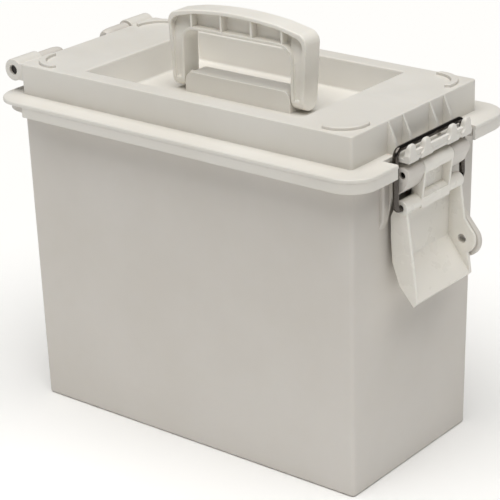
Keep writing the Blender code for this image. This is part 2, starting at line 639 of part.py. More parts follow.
def build_pins(parts, steel):
    """Hinge pins and the latch pivot pin."""
    for side in (-1, 1):
        near = "near" if side < 0 else "far"
        pin = rod(f"hinge_pin_{near}", parts, (HINGE_X, HINGE_Z), PIN_R,
                  mirrored((TUB_KNUCKLE_Y[0] + 2.4, LID_KNUCKLE_Y[1] - 2.0), side))
        finish(pin, steel)
    latch_pin = rod("latch_pin", parts, (LATCH_X, LATCH_Z), LATCH_PIN_R,
                    (-LUG_Y[1] + 2.0, LUG_Y[1] - 2.0), 16)
    finish(latch_pin, steel)


def main():
    clear_scene()
    parts = make_collection("utility_box")
    tools = make_collection("cutters")
    plastic = make_material("moulded_plastic", (0.78, 0.76, 0.72), 0.45)
    lid_plastic = make_material("lid_plastic", (0.80, 0.78, 0.74), 0.42)
    latch_plastic = make_material("latch_plastic", (0.76, 0.74, 0.69), 0.40)
    steel = make_material("dark_steel", (0.16, 0.15, 0.14), 0.35, 1.0)
    rubber = make_material("gasket_rubber", (0.05, 0.05, 0.05), 0.8)
    build_tub(parts, tools, plastic)
    build_lid(parts, tools, lid_plastic)
    build_gasket(parts, tools, rubber)
    build_handle(parts, tools, lid_plastic)
    build_lever(parts, tools, latch_plastic)
    build_bail(parts, steel)
    build_pins(parts, steel)


main()
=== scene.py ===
"""Looks of a latching dry box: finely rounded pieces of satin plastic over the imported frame."""
import json
import math

import bmesh
import bpy
from mathutils import Matrix, Vector


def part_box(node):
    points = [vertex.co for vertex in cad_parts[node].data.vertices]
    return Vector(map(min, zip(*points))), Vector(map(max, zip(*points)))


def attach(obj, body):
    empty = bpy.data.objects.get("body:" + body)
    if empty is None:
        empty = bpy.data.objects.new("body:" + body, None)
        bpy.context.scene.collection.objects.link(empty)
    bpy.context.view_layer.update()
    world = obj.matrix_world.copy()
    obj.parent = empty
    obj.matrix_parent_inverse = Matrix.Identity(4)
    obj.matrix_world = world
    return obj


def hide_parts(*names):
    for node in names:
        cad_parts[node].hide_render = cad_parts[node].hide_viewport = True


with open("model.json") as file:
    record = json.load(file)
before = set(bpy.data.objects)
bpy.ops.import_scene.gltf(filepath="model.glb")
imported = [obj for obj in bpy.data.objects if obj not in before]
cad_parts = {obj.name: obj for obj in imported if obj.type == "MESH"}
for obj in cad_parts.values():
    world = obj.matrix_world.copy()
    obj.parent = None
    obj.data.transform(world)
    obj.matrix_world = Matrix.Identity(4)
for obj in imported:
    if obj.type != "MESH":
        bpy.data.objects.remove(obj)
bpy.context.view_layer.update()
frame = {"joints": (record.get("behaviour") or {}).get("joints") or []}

MM = 0.001
SIDES = (-1, 1)


def joint_axis(name):
    """x and z, in millimetres, of a hinge's axis as packed."""
    joint = next(j for j in frame["joints"] if j["name"] == name)
    return joint["pos_m"][0] / MM, joint["pos_m"][2] / MM


def box_mm(node):
    """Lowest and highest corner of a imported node, in millimetres."""
    low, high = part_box(node)
    return low / MM, high / MM


# All sizes below are in millimetres. A name that ends in _EDGE is the rounding of an edge.
HINGE_X, HINGE_Z = joint_axis("lid_hinge")
LATCH_X, LATCH_Z = joint_axis("latch_lever_swing")
BAIL_X, BAIL_Z = joint_axis("bail_swing")
PIVOT_Z = joint_axis("handle_fold")[1]

# Cutters
FAR_X = 220.0                        # well outside the box
FAR_Y = 120.0
CLEAR = 5.0                          # how far a cutter stands out of what it cuts
BORE_EDGE = 0.1

# Roundings that several pieces share
WEB_EDGE = 0.4
BARREL_EDGE = 0.7
EAR_EDGE = 0.6
LEVER_EDGE = 0.3
FINGER_EDGE = 1.3                    # fingers of the keeper, and the tub's ear

# Tub
TUB_BOTTOM = (332.5, 164.7)          # outer length and width at the floor
TUB_TOP = (337.7, 172.5)             # outer length and width under the rim
TUB_TOP_Z = 272.5
TUB_CORNER_R = 4.0
TUB_FOOT_R = 1.8                     # rounding under the floor's edge
WALL = 3.0
FLOOR_T = 3.5
INSIDE_TOP_Z = 278.5                 # the cutter of the inside ends above the rim
INSIDE_R = 3.0
INSIDE_FOOT_R = 2.5
RIM_OUT_Y = 104.2
RIM_END_X = 178.0
RIM_LATCH_X = 186.8
RIM_Z = (269.5, 275.0)
RIM_LOW_X = -164.0                   # the rim is lower from here to the hinge end
RIM_LOW_Z = 273.6
RIM_R = 22.5
RIM_EDGE = 0.8
RIM_TOP_STEP = 0.25
GASKET_SEAT = (338.6, 173.4)         # pocket round the top of the wall
GASKET_SEAT_R = 4.5
FOOT_RECESS_MARGIN = 12.0            # from the tub's foot to the recess in its underside
FOOT_RECESS_DEPTH = 0.5
FOOT_RECESS_R = 8.0
GATE_R = 7.0
GATE_DEPTH = 1.2

# Lid
LID_HALF_Y = box_mm("lid")[1].y
LID_LATCH_X = 190.5
LID_HINGE_X = -185.5
LID_R = 25.0
PLATE_Z = (275.8, 279.0)
PLATE_EDGE_R = 1.3
PLATE_LOW_EDGE = 0.25
SKIRT_LOW_Z = box_mm("lid")[0].z
SKIRT_T = 3.0
SKIRT_STEP = 0.5                     # the skirt is set back this far under the plate's edge
SKIRT_STEP_Z = 275.9
SKIRT_TOP_Z = 276.8
SKIRT_EDGE = 0.7
SKIRT_END_X = -150.0
PLATEAU = (337.7, 172.5)             # length and width of the raised part
PLATEAU_TOP_Z = 305.0
PLATEAU_R = 2.6
PLATEAU_EDGE_R = 1.2
HOLLOW = (331.7, 166.5)              # hollow under the raised part
HOLLOW_Z = (278.8, 302.0)
WELL_TOP = (220.4, 142.3)
WELL_FLOOR = (203.0, 132.0)
WELL_FLOOR_Z = 281.0
WELL_R = 2.2
WELL_FILLET = 1.6
WELL_ROLL = 1.4                      # radius of the rolled edge at the well's mouth
WELL_UNDER_Z = 278.0
WELL_WALL_LOW = (209.0, 138.0)       # outside of the well's walls, below and above
WELL_WALL_HIGH = (225.6, 148.0)
FLOOR_PAN_HALF = (104.5, 69.0)
LIP = (328.4, 163.2)                 # locating lip that reaches into the tub
LIP_T = 2.4
LIP_R = 3.0
LIP_EDGE = 0.8
LIP_LOW_Z = 269.0
RIDGE_CENTRE = (142.4, 60.2)
RIDGE_R = 22.0
RIDGE_WIDTH = 4.2
RIDGE_H = 2.6
RIDGE_EDGE = 1.6
LIP_BAR_HALF_Y = 43.3
KEEPER_Y = (-38.5, -18.5, 18.5, 38.5)
FINGER_X = (185.0, 191.9)
FINGER_TOP_Z = 290.4
FINGER_TOP_R = 4.2
FINGER_FLARE_R = 5.0
FINGER_FLARE_DROP = 1.6              # the flare's arc is centred this far below the top's
RIB_HALF_Y = (1.9, 0.9)              # half thickness of a buttress at its foot and at its top

# Pivot block in the floor of the well
BLOCK_HALF_X = 54.4
BLOCK_HALF_Y = 9.8
BLOCK_TOP_Z = 298.8
BLOCK_R = 8.5
BLOCK_WALL = 3.0
BLOCK_HOLLOW_HALF = (46.0, 6.8)
SOCKET_X = (45.5, 54.9)              # blind sockets for the handle's stubs
SOCKET_GAP = 0.4

# Handle
LEG_IN_X = 55.0
LEG_FOOT_X = 68.0
LEG_TOP_X = box_mm("handle")[1].x
HANDLE_HALF_Y = box_mm("handle")[1].y
HANDLE_TOP_Z = box_mm("handle")[1].z
HANDLE_EDGE_R = 1.3
HANDLE_CROWN_R = 331.0
CROWN_HALF_X = 45.0
CROWN_STEPS = 30
HANDLE_CORNER_R = 9.5
SHOULDER_DROP = 6.6                  # the shoulders stand this far below the crown
HANDLE_OPEN_Z = 335.0
HANDLE_OPEN_R = 11.0
HANDLE_RIM = 3.4
HANDLE_INNER_RIM = 2.6
HANDLE_RIBS_X = (-46.5, -15.5, 15.5, 46.5)
POCKET_LOW_Z = 323.0
POCKET_WEB_HALF_Y = 2.0
STUB_R = 3.6
STUB_X = (46.5, 56.5)
GRIP_RIB_HALF_X = 1.0
GRIP_RIB_SET_BACK = 0.7              # the ribs end this far behind the rim
GRIP_RIB_Z = (329.0, 358.0)
POCKET_EDGE = 0.8
FOOT_EDGE = 1.2
CHANNEL_DEPTH = 2.0
CHANNEL_EDGE = 1.5
CHANNEL_MARGIN = (0.6, 0.4)          # from the inner and from the outer rim
CHANNEL_TOP_DROP = 14.0              # the channels end this far below the crown
BOSS_Z = 290.4
BOSS = ((5.0, 3.5), (8.6, 3.4), (9.3, 2.9), (9.7, 1.9), (9.8, 0.7))    # y and radius
SHOULDER_RAMP = ((1.5, -2.0), (8.3, -2.0), (8.1, 1.0), (6.8, 6.0), (4.4, 13.0), (2.8, 20.0),
                 (1.5, 26.0))        # y and height over the pocket's foot
SHOULDER_RAMP_X = (52.0, 76.0)

# Hinge
LID_KNUCKLE_R = 9.4
TUB_KNUCKLE_R = 7.4
# Taper of the tub's knuckle: distance from its inner end, and amount below its radius
KNUCKLE_TAPER = ((0.0, 2.4), (0.8, 1.5), (3.0, 0.7), (7.0, 0.15), (10.0, 0.0))
KNUCKLE_EDGE = 0.6
PIN_R = 4.0
PIN_GAP = 0.3
LID_KNUCKLE_Y = (57.4, 86.0)
TUB_KNUCKLE_Y = (28.0, 57.0)
POST_HALF_X = 6.4
POST_INSET = 0.2
BRIDGE_INSET = 0.3
BRIDGE_DROP = 8.0                    # the lid's bar reaches this far below the pin
POST_SLOT_X = -171.4
POST_SLOT_Y = (TUB_KNUCKLE_Y[0] - 0.8, TUB_KNUCKLE_Y[1] + 0.39)
POST_SLOT_Z = (270.0, 285.0)

# Latch
WIRE_R = 2.4
WIRE_GAP = 0.4
BAR_X = 181.0
BAR_Z = 285.5
BAIL_HALF_Y = 46.8
BAIL_TOP_BEND = 6.2
BAIL_LOW_BEND = 4.6
BAIL_END_Y = 27.0
BAIL_BORE_Y = 24.0
BAIL_SLOT_Y = 43.9
BAIL_SLOT_TOP_Z = 292.0
BARREL_A_R = 6.5                     # round the latch pin
BARREL_B_R = 6.0                     # round the wire's ends
LUG_Y = (20.6, 43.0)
LUG_INSET = 0.15
GUSSET_Y = (40.0, 42.65)
KNUCKLE_HALF_Y = 20.2
LEVER_WEB_Y = (17.6, 20.1)
LATCH_BORE_R = 2.9
LATCH_PIN_R = 2.5
NOTCH_Y = (-56.5, 52.0)
NOTCH_X = 176.2
FLANGE_HALF_Y = 39.5
FLANGE_T = 2.8
PADLOCK = (188.5, 188.5)             # x and z of the padlock hole
PADLOCK_R = 3.8
PILASTER_Y = (41.5, 50.0)
PILASTER_EDGE = 2.0
TUB_EAR_Y = (40.0, 45.4)
TUB_EAR_HOLE_Y = (39.0, 47.0)
TUB_EAR_R = 14.2
LEVER_EAR_HOLE_Y = (34.0, 42.0)
LEVER_EAR_R = 12.4

# Outlines in the XZ plane, seen from the near side
END_X = 165.5                        # inside the tub's end wall
BUTTRESS = ((168.0, 304.2), (168.0, 278.0), (178.0, 278.0), (178.0, 284.6), (169.1, 304.2))
FINGER = ((186.9, 277.0), (191.0, 275.4), (191.9, 278.4), (191.9, 287.0), (191.3, 289.6),
          (189.9, 290.4), (188.7, 289.8), (188.2, 288.2), (186.9, 283.5))
LIP_BAR = ((186.9, 277.0), (189.9, 277.0), (190.4, 283.0), (187.7, 283.4), (186.9, 282.4))
LUG = ((END_X, 269.6), (END_X, 239.0), (172.0, 243.0), (178.0, 246.6), (186.4, 253.6),
       (189.6, 261.0), (LATCH_X, LATCH_Z), (LATCH_X - 2.0, LATCH_Z + 4.6))
GUSSET = ((END_X, 269.8), (END_X, 221.0), (169.5, 223.0), (176.0, 250.0), (181.0, 268.0))
PILASTER = ((END_X, 269.8), (END_X, 218.0), (168.6, 219.6), (171.4, 226.0), (172.4, 240.0),
            (172.4, 269.8))
LEVER_BACK = ((179.2, 265.0), (178.4, 259.0), (177.6, 237.0), (181.0, 237.0), (181.8, 259.0))
LEVER_WEB = ((178.6, 262.0), (178.0, 237.0), (187.2, 237.0), (190.6, 264.0))
LEVER_FLANGE = ((177.5, 241.0), (171.6, 228.0), (171.9, 210.0), (173.4, 190.0), (180.0, 172.2),
                (193.2, 156.8), (196.8, 160.6), (186.6, 232.0), (187.2, 239.0))
LEVER_LEDGE = ((178.0, 240.0), (178.0, 231.5), (187.2, 231.5), (187.4, 240.0))
LEVER_PANEL = ((177.0, 240.0), (172.6, 228.0), (173.1, 212.0), (172.8, 189.0), (193.0, 157.2),
               (196.6, 160.7), (175.4, 189.6), (176.2, 231.9), (184.0, 231.9))

# Gasket
GASKET_WIDTH = 4.05
GASKET_R = 4.0
GASKET_IN_R = 3.4
GASKET_FOOT = 0.5
GASKET_HEAD = 1.2
GASKET_HEAD_STEP = 0.35

# Colours, as red, green and blue
# The tub's own grey, set darker than the lid's to paint in the shade on the tub's sides.
TUB_SHADED_COLOUR = (0.665, 0.637, 0.599)
LID_COLOUR = (0.745, 0.726, 0.684)
GRIP_COLOUR = (0.87, 0.85, 0.80)
LATCH_COLOUR = (0.85, 0.83, 0.78)
WIRE_COLOUR = (0.11, 0.10, 0.092)
PIN_COLOUR = (0.05, 0.047, 0.044)
SEAL_COLOUR = (0.022, 0.022, 0.023)
SHARP_DEGREES = 32                   # edges that turn further than this stay sharp

# Stage
STAGE_HALF = 6000.0
STAGE_DROP = 0.3                     # the floor lies this far under the box
STAGE_COLOUR = (0.95, 0.95, 0.945, 1.0)
WORLD_COLOUR = (1.0, 0.99, 0.975, 1.0)
WORLD_STRENGTH = 0.08
DIFFUSER_COLOUR = (1.0, 0.99, 0.97)
DIFFUSER_FROM = (0.14, -0.21, 0.97)
DIFFUSER_DEGREES = 66.0
DIFFUSER_STRENGTH = 3.2

# Camera, solved from the box's straight edges; its place is in metres
CAMERA_PLACE = (0.9555, -1.1959, 0.7749)
CAMERA_AZIMUTH = 38.5759
CAMERA_ELEVATION = 22.3041
CAMERA_ROLL = -1.5592
CAMERA_LENS = 140.55
SENSOR_WIDTH = 36.0
CAMERA_REACH = 30.0


# ---------------------------------------------------------------- mesh helpers

def link_object(name, data):
    """Put a new object with this mesh, curve, lamp or camera into the scene."""
    made = bpy.data.objects.new(name, data)
    bpy.context.scene.collection.objects.link(made)
    return made


def add_object(name, shape):
    """Turn a bmesh, in millimetres, into an object in metres."""
    bmesh.ops.recalc_face_normals(shape, faces=shape.faces)
    bmesh.ops.scale(shape, vec=Vector((MM, MM, MM)), verts=shape.verts)
    mesh = bpy.data.meshes.new(name)
    shape.to_mesh(mesh)
    shape.free()
    return link_object(name, mesh)


def bridge(shape, first, second):
    """Faces between two rings with the same number of corners."""
    for i in range(len(first)):
        j = (i + 1) % len(first)
        shape.faces.new((first[i], first[j], second[j], second[i]))


def round_edges(shape, edges, size, segments):
    """Round some edges of a shape that is still in millimetres."""
    bmesh.ops.bevel(shape, geom=edges, offset=size, segments=segments, profile=0.5,
                    affect="EDGES", clamp_overlap=True)


def arc(centre, radius, start, end, steps):
    """Points on an arc, with the angles in degrees."""
    angles = [math.radians(start + (end - start) * step / steps) for step in range(steps + 1)]
    return [(centre[0] + radius * math.cos(a), centre[1] + radius * math.sin(a)) for a in angles]


def mirrored(pair, side):
    """An interval on the positive or the negative side."""
    return pair if side > 0 else (-pair[1], -pair[0])


def both_ways(reach):
    """An interval centred on the origin."""
    return (-reach, reach)


def rounded_rectangle(x0, x1, y0, y1, radius, steps):
    """Outline of a rectangle with round corners, counter-clockwise."""
    points = arc((x1 - radius, y1 - radius), radius, 0, 90, steps)
    points += arc((x0 + radius, y1 - radius), radius, 90, 180, steps)
    points += arc((x0 + radius, y0 + radius), radius, 180, 270, steps)
    points += arc((x1 - radius, y0 + radius), radius, 270, 360, steps)
    return points


def loft(name, levels, steps=10):
    """A closed solid through rounded rectangles (z, x0, x1, y0, y1, radius), from low to high."""
    shape = bmesh.new()
    rings = [[shape.verts.new((x, y, z)) for x, y in rounded_rectangle(*sides, steps)]
             for z, *sides in levels]
    for lower, upper in zip(rings, rings[1:]):
        bridge(shape, lower, upper)
    shape.faces.new(list(reversed(rings[0])))
    shape.faces.new(rings[-1])
    return add_object(name, shape)


def level(z, size, radius, inset=0.0):
    """A level of a loft centred on the origin, from a length and a width."""
    half_x = size[0] / 2 - inset
    half_y = size[1] / 2 - inset
    return (z, -half_x, half_x, -half_y, half_y, max(radius - inset, 0.2))


def between(low_size, high_size, share):
    """A length and a width part of the way from one pair to another."""
    return tuple(a + (b - a) * share for a, b in zip(low_size, high_size))


def rounded_levels(low_size, high_size, z, radius, foot=0.0, head=0.0):
    """Levels of a drafted box with rounded lower and upper edges; a negative head flares out."""
    steps = 4
    angles = [math.radians(90 * step / steps) for step in range(steps + 1)]
    levels = []
    span = z[1] - z[0]
    for angle in angles if foot else angles[:1]:
        rise = foot * (1 - math.cos(angle))
        inset = foot * (1 - math.sin(angle))
        levels.append(level(z[0] + rise, between(low_size, high_size, rise / span), radius, inset))
    for angle in angles if head else angles[:1]:
        drop = abs(head) * (1 - math.sin(angle))
        inset = head * (1 - math.cos(angle))
        levels.append(level(z[1] - drop, between(low_size, high_size, 1 - drop / span), radius,
                            inset))
    return levels


def prism(name, outline, axis, span, edge=0.0, segments=2):
    """An outline pushed along X, Y or Z, with its end edges rounded."""
    index = "XYZ".index(axis)
    shape = bmesh.new()
    ring = []
    for point in outline:
        corner = list(point)
        corner.insert(index, span[0])
        ring.append(shape.verts.new(corner))
    grown = bmesh.ops.extrude_face_region(shape, geom=[shape.faces.new(ring)])
    moved = [item for item in grown["geom"] if isinstance(item, bmesh.types.BMVert)]
    shift = Vector((0, 0, 0))
    shift[index] = span[1] - span[0]
    bmesh.ops.translate(shape, vec=shift, verts=moved)
    if edge:
        ends = [e for e in shape.edges if abs(e.verts[0].co[index] - e.verts[1].co[index]) < 1e-6]
        round_edges(shape, ends, edge, segments)
    return add_object(name, shape)


def turned(name, centre, profile, axis="Y", sides=48):
    """A round bar: profile is (place along the axis, radius), about a point across the axis."""
    shape = bmesh.new()
    rings = []
    for along, radius in profile:
        ring = []
        for step in range(sides):
            angle = math.tau * step / sides
            a = centre[0] + radius * math.cos(angle)
            b = centre[1] + radius * math.sin(angle)
            ring.append(shape.verts.new((a, along, b) if axis == "Y" else (along, a, b)))
        rings.append(ring)
    for first, second in zip(rings, rings[1:]):
        bridge(shape, first, second)
    shape.faces.new(rings[0])
    shape.faces.new(rings[-1])
    return add_object(name, shape)


def rod(name, centre, radius, span, edge=0.5, axis="Y", sides=48):
    """A round bar with rounded end edges."""
    steps = 3
    start = []
    for step in range(steps, -1, -1):
        angle = math.radians(90 * step / steps)
        start.append((span[0] + edge * (1 - math.sin(angle)),
                      radius - edge * (1 - math.cos(angle))))
    finish = [(span[0] + span[1] - along, r) for along, r in reversed(start)]
    return turned(name, centre, start + finish, axis, sides)


def block(name, x, y, z, edge=0.0):
    """A box between two limits on each axis, with rounded edges."""
    shape = bmesh.new()
    bmesh.ops.create_cube(shape, size=1.0)
    size = Vector((x[1] - x[0], y[1] - y[0], z[1] - z[0]))
    centre = Vector((x[0] + x[1], y[0] + y[1], z[0] + z[1])) / 2
    bmesh.ops.scale(shape, vec=size, verts=shape.verts)
    bmesh.ops.translate(shape, vec=centre, verts=shape.verts)
    if edge:
        round_edges(shape, list(shape.edges), edge, 3)
    return add_object(name, shape)


def evaluated_mesh(source):
    """A new mesh with what an object looks like after its modifiers."""
    bpy.context.view_layer.update()
    view = source.evaluated_get(bpy.context.evaluated_depsgraph_get())
    return bpy.data.meshes.new_from_object(view)


def combine(piece, operation, tools):
    """Apply one exact Boolean for each tool solid, then delete the tools."""
    for tool in tools:
        modifier = piece.modifiers.new(tool.name, "BOOLEAN")
        modifier.operation = operation
        modifier.solver = "EXACT"
        modifier.object = tool
        tool.hide_render = True
    old = piece.data
    mesh = evaluated_mesh(piece)
    piece.modifiers.clear()
    piece.data = mesh
    bpy.data.meshes.remove(old)
    mesh.name = piece.name
    for tool in tools:
        bpy.data.objects.remove(tool, do_unlink=True)
    return piece


def join(piece, *tools):
    return combine(piece, "UNION", tools)


def cut(piece, *tools):
    return combine(piece, "DIFFERENCE", tools)


def keep_common(piece, *tools):
    return combine(piece, "INTERSECT", tools)


def dress(piece, node, body, material):
    """Shade a finished piece smoothly, give it its material, and let it stand for its CAD node."""
    piece.data.materials.clear()
    piece.data.materials.append(material)
    piece.data.shade_smooth()
    piece.data.set_sharp_from_angle(angle=math.radians(SHARP_DEGREES))
    weighted = piece.modifiers.new("weighted", "WEIGHTED_NORMAL")
    weighted.keep_sharp = True
    weighted.weight = 60
    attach(piece, body)
    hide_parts(node)


# ---------------------------------------------------------------- tub

def build_tub():
    """Deep drafted tub with a rim flange, hinge posts, latch lugs and a padlock ear."""
    tub = loft("tub_shell", rounded_levels(TUB_BOTTOM, TUB_TOP, (0.0, TUB_TOP_Z), TUB_CORNER_R,
                                           foot=TUB_FOOT_R))
    join(tub, tub_rim())
    for side in SIDES:
        join(tub, *tub_hinge(side), *tub_latch_mount(side))
    join(tub, prism("padlock_ear_tub", tub_ear_outline(), "Y", TUB_EAR_Y,
                    FINGER_EDGE, 3))
    inner_low = (TUB_BOTTOM[0] - 2 * WALL, TUB_BOTTOM[1] - 2 * WALL)
    inner_high = (TUB_TOP[0] - 2 * WALL, TUB_TOP[1] - 2 * WALL)
    inside = loft("tub_inside", rounded_levels(inner_low, inner_high, (FLOOR_T, INSIDE_TOP_Z),
                                               INSIDE_R, foot=INSIDE_FOOT_R))
    seat = loft("gasket_seat", [level(z, GASKET_SEAT, GASKET_SEAT_R)
                                for z in (TUB_TOP_Z, INSIDE_TOP_Z)])
    cut(tub, inside, seat)
    bore_y = (TUB_KNUCKLE_Y[0] + 2.0, TUB_KNUCKLE_Y[1] + CLEAR)
    cut(tub, *[rod(f"hinge_bore_{side}", (HINGE_X, HINGE_Z), PIN_R + PIN_GAP,
                   mirrored(bore_y, side), BORE_EDGE) for side in SIDES])
    cut(tub, rod("latch_bore", (LATCH_X, LATCH_Z), LATCH_BORE_R, both_ways(LUG_Y[1] + CLEAR),
                 BORE_EDGE),
        rod("padlock_hole", PADLOCK, PADLOCK_R, TUB_EAR_HOLE_Y, BORE_EDGE))
    cut(tub, *underside_marks())
    return tub


def tub_rim():
    """Flange round the top of the tub, notched at the latch and lower at the hinge end."""
    levels = []
    low, high = RIM_Z
    for z, inset in ((low, RIM_EDGE), (low + RIM_EDGE, 0.0), (high - RIM_EDGE, 0.0),
                     (high - RIM_TOP_STEP, RIM_TOP_STEP), (high, RIM_EDGE)):
        levels.append((z, -RIM_END_X + inset, RIM_LATCH_X - inset, -RIM_OUT_Y + inset,
                       RIM_OUT_Y - inset, RIM_R - inset))
    rim = loft("tub_rim", levels, 16)
    low_end = block("low_rim_end", (-FAR_X, RIM_LOW_X), both_ways(FAR_Y),
                    (RIM_LOW_Z, RIM_LOW_Z + 3.0))
    notch = block("rim_notch", (TUB_TOP[0] / 2 - 0.5, FAR_X), NOTCH_Y,
                  (low - 2.0, high + 2.0))
    return cut(rim, low_end, notch)


def tub_hinge(side):
    """Post and knuckle of one hinge; the knuckle tapers towards its inner end."""
    low, high = mirrored(TUB_KNUCKLE_Y, side)
    post = block(f"hinge_post_{side}", (HINGE_X - POST_HALF_X, HINGE_X + POST_HALF_X),
                 (low + POST_INSET, high - POST_INSET), (RIM_Z[0] - 0.4, HINGE_Z))
    inner, outer = TUB_KNUCKLE_Y
    profile = [(inner + along, TUB_KNUCKLE_R - less) for along, less in KNUCKLE_TAPER]
    profile += [(outer - KNUCKLE_EDGE, TUB_KNUCKLE_R), (outer, TUB_KNUCKLE_R - KNUCKLE_EDGE)]
    knuckle = turned(f"hinge_knuckle_{side}", (HINGE_X, HINGE_Z),
                     [(side * along, radius) for along, radius in profile])
    return post, knuckle


def tub_latch_mount(side):
    """Lug, barrel, gusset and pilaster that carry one side of the latch pin."""
    low, high = mirrored(LUG_Y, side)
    return (prism(f"lug_{side}", LUG, "Y", (low + LUG_INSET, high - LUG_INSET), WEB_EDGE),
            rod(f"lug_barrel_{side}", (LATCH_X, LATCH_Z), BARREL_A_R, (low, high), BARREL_EDGE),
            prism(f"gusset_{side}", GUSSET, "Y", mirrored(GUSSET_Y, side), WEB_EDGE),
            prism(f"pilaster_{side}", PILASTER, "Y", mirrored(PILASTER_Y, side), PILASTER_EDGE,
                  4))


def tub_ear_outline():
    """Ear on the tub's end wall, round about the padlock hole."""
    outline = [(END_X, 170.0), (188.0, 171.6)]
    outline += arc((PADLOCK[0] + 0.2, PADLOCK[1] - 2.0), TUB_EAR_R, -62, 42, 10)
    outline += [(186.0, 212.0), (END_X, 222.0)]
    return outline


def underside_marks():
    """Shallow recess in the floor's underside, and the moulding gate's dimple."""
    size = tuple(side - 2 * FOOT_RECESS_MARGIN for side in TUB_BOTTOM)
    recess = loft("foot_recess", [level(-1.0, size, FOOT_RECESS_R),
                                  level(FOOT_RECESS_DEPTH, size, FOOT_RECESS_R, 0.5)])
    gate = rod("gate_mark", (0.0, 0.0), GATE_R, (-1.0, GATE_DEPTH), WEB_EDGE)
    gate.data.transform(Matrix.Rotation(math.radians(90), 4, "X"))
    return recess, gate


# ---------------------------------------------------------------- lid

def build_lid():
    """Raised lid with a handle well, pivot block, skirt, keeper and hinge knuckles."""
    lid = lid_plate()
    join(lid, lid_skirt())
    join(lid, loft("plateau", rounded_levels(PLATEAU, PLATEAU, (PLATE_Z[0] + 0.3, PLATEAU_TOP_Z),
                                             PLATEAU_R, head=PLATEAU_EDGE_R)))
    join(lid, *[stacking_ridge(end, side) for end in SIDES for side in SIDES])
    for side in SIDES:
        join(lid, *lid_hinge(side))
    join(lid, *keeper())
    hollow_lid(lid)
    well = loft("handle_well", well_levels(), 8)
    cut(well, pivot_block())
    cut(lid, well)
    under_x, under_y = BLOCK_HOLLOW_HALF
    cut(lid, block("block_hollow", both_ways(under_x), both_ways(under_y),
                   (WELL_UNDER_Z - 1.0, BLOCK_TOP_Z - BLOCK_WALL), 0.8))
    for side in SIDES:
        cut(lid, *lid_openings(side))
    return lid


def lid_level(z, inset, hinge_x):
    """A level of the lid's outline, with its hinge end at a given x."""
    return (z, hinge_x, LID_LATCH_X - inset, -LID_HALF_Y + inset, LID_HALF_Y - inset,
            LID_R - inset)


def lid_plate():
    """Flange plate with a rounded upper edge."""
    rounding = [(PLATE_Z[0], PLATE_LOW_EDGE), (PLATE_Z[0] + PLATE_LOW_EDGE, 0.0)]
    steps = 4
    for step in range(steps + 1):
        angle = math.radians(90 * step / steps)
        rounding.append((PLATE_Z[1] - PLATE_EDGE_R * (1 - math.sin(angle)),
                         PLATE_EDGE_R * (1 - math.cos(angle))))
    return loft("lid_shell", [lid_level(z, inset, LID_HINGE_X + inset) for z, inset in rounding],
                24)


def lid_skirt():
    """Skirt on three sides, set back a little under the plate's edge."""
    rounding = ((SKIRT_LOW_Z, SKIRT_STEP + SKIRT_EDGE), (SKIRT_LOW_Z + 0.2, SKIRT_STEP + 0.25),
                (SKIRT_LOW_Z + SKIRT_EDGE, SKIRT_STEP), (SKIRT_STEP_Z - 0.3, SKIRT_STEP),
                (SKIRT_STEP_Z, SKIRT_STEP), (SKIRT_TOP_Z, SKIRT_STEP))
    z = (SKIRT_LOW_Z - 1.0, SKIRT_TOP_Z + 1.0)
    skirt = loft("lid_skirt", [lid_level(z, inset, LID_HINGE_X) for z, inset in rounding], 24)
    inner = loft("skirt_inside", [lid_level(end, SKIRT_T, LID_HINGE_X - 20.0) for end in z], 24)
    hinge_end = block("skirt_end", (-FAR_X, SKIRT_END_X), both_ways(FAR_Y), z)
    gap = block("skirt_gap", (NOTCH_X, FAR_X), NOTCH_Y, z)
    return cut(skirt, inner, hinge_end, gap)


def stacking_ridge(end, side):
    """Curved raised bar that bulges towards one corner of the lid."""
    inner = (RIDGE_CENTRE[0] - RIDGE_WIDTH, RIDGE_CENTRE[1] - RIDGE_WIDTH)
    outline = arc(RIDGE_CENTRE, RIDGE_R, -13, 100, 24) + arc(inner, RIDGE_R, 95, -8, 24)
    outline = [(end * x, side * y) for x, y in outline]
    return prism(f"ridge_{end}_{side}", outline, "Z",
                 (PLATEAU_TOP_Z - 2.0, PLATEAU_TOP_Z + RIDGE_H), RIDGE_EDGE, 4)


def lid_hinge(side):
    """Knuckle of one hinge, and the bar that ties it to the raised part."""
    low, high = mirrored(LID_KNUCKLE_Y, side)
    barrel = rod(f"lid_knuckle_{side}", (HINGE_X, HINGE_Z), LID_KNUCKLE_R, (low, high),
                 BARREL_EDGE)
    bar = block(f"lid_bridge_{side}", (HINGE_X, -PLATEAU[0] / 2 + 2.0),
                (low + BRIDGE_INSET, high - BRIDGE_INSET),
                (HINGE_Z - BRIDGE_DROP, PLATEAU_TOP_Z - 0.8), BRIDGE_INSET)
    return barrel, bar


def keeper():
    """Lip bar, four round-topped fingers and four thin buttress ribs at the latch end."""
    tools = [prism("keeper_lip", LIP_BAR, "Y", both_ways(LIP_BAR_HALF_Y), 0.5)]
    for number, centre in enumerate(KEEPER_Y, start=1):
        tools += [buttress(number, centre), keeper_finger(number, centre)]
    return tools


def buttress(number, centre):
    """Thin rib from the raised part's edge down to the plate, thicker at its foot."""
    rib = prism(f"buttress_{number}", BUTTRESS, "Y", (centre - 2.5, centre + 2.5))
    foot, top = RIB_HALF_Y
    front = [(centre - foot, 277.0), (centre + foot, 277.0), (centre + top, 305.0),
             (centre - top, 305.0)]
    return keep_common(rib, prism(f"buttress_front_{number}", front, "X", (160.0, FINGER_X[0])))


